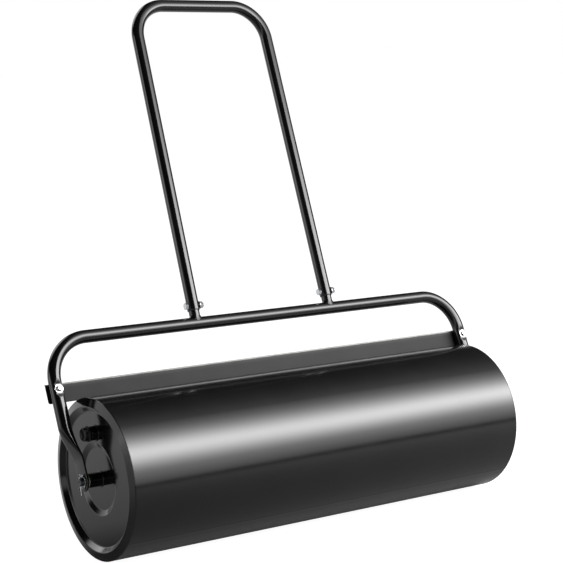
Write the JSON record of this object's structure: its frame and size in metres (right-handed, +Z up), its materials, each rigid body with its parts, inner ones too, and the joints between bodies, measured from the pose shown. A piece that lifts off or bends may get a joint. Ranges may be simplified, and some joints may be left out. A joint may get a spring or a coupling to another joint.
{
  "type": "lawn roller",
  "caption": "Push lawn roller: hollow water-filled steel drum on a fixed axle, bent tube yoke with scraper plate, bolted U-shaped push handle and a filler plug in the end face.",
  "frame": {"origin": "on the ground, under the middle of the whole roller's bounding box", "axes": "+X along the axle towards the end without the filler, +Y backwards to where the handle leans, +Z up"},
  "size_m": [1.015, 0.533, 1.038],
  "materials": {
    "frame_paint": "gloss black powder coat on steel tube",
    "drum_paint": "gloss black paint on rolled steel sheet",
    "head_paint": "satin black paint on pressed steel",
    "scraper_paint": "gloss black paint on steel sheet",
    "zinc_plate": "bright zinc plate",
    "axle_steel": "dark drawn steel",
    "bush_nylon": "satin natural nylon",
    "plug_plastic": "matte black moulded plastic",
    "seal_rubber": "matte black rubber"
  },
  "bodies": {
    "frame": {"yoke": "frame_paint", "stub_left": "frame_paint", "stub_right": "frame_paint", "handle": "frame_paint", "handle_bolt_left": "zinc_plate", "handle_bolt_right": "zinc_plate", "handle_washer_left": "zinc_plate", "handle_washer_right": "zinc_plate", "handle_nut_left": "zinc_plate", "handle_nut_right": "zinc_plate", "scraper_plate": "scraper_paint", "scraper_bolt_left": "zinc_plate", "scraper_bolt_right": "zinc_plate", "scraper_washer_left": "zinc_plate", "scraper_washer_right": "zinc_plate", "scraper_nut_left": "zinc_plate", "scraper_nut_right": "zinc_plate", "axle": "axle_steel", "axle_washer_left": "zinc_plate", "axle_washer_right": "zinc_plate", "thrust_washer_left": "zinc_plate", "thrust_washer_right": "zinc_plate", "cotter_pin_left": "zinc_plate", "cotter_pin_right": "zinc_plate"},
    "drum": {"drum_shell": "drum_paint", "head_left": "head_paint", "head_right": "head_paint", "hub_tube": "drum_paint", "hub_bush_left": "bush_nylon", "hub_bush_right": "bush_nylon", "filler_neck": "head_paint"},
    "plug": {"filler_plug": "plug_plastic", "plug_seal": "seal_rubber"}
  },
  "joints": [
    {"name": "drum_spin", "type": "hinge", "parent": "frame", "child": "drum", "pos_m": [0, -0.1142, 0.1524], "axis": [1, 0, 0], "continuous": true},
    {"name": "plug_unscrew", "type": "slide", "parent": "drum", "child": "plug", "axis": [-1, 0, 0], "range_m": [0, 0.03]}
  ]
}
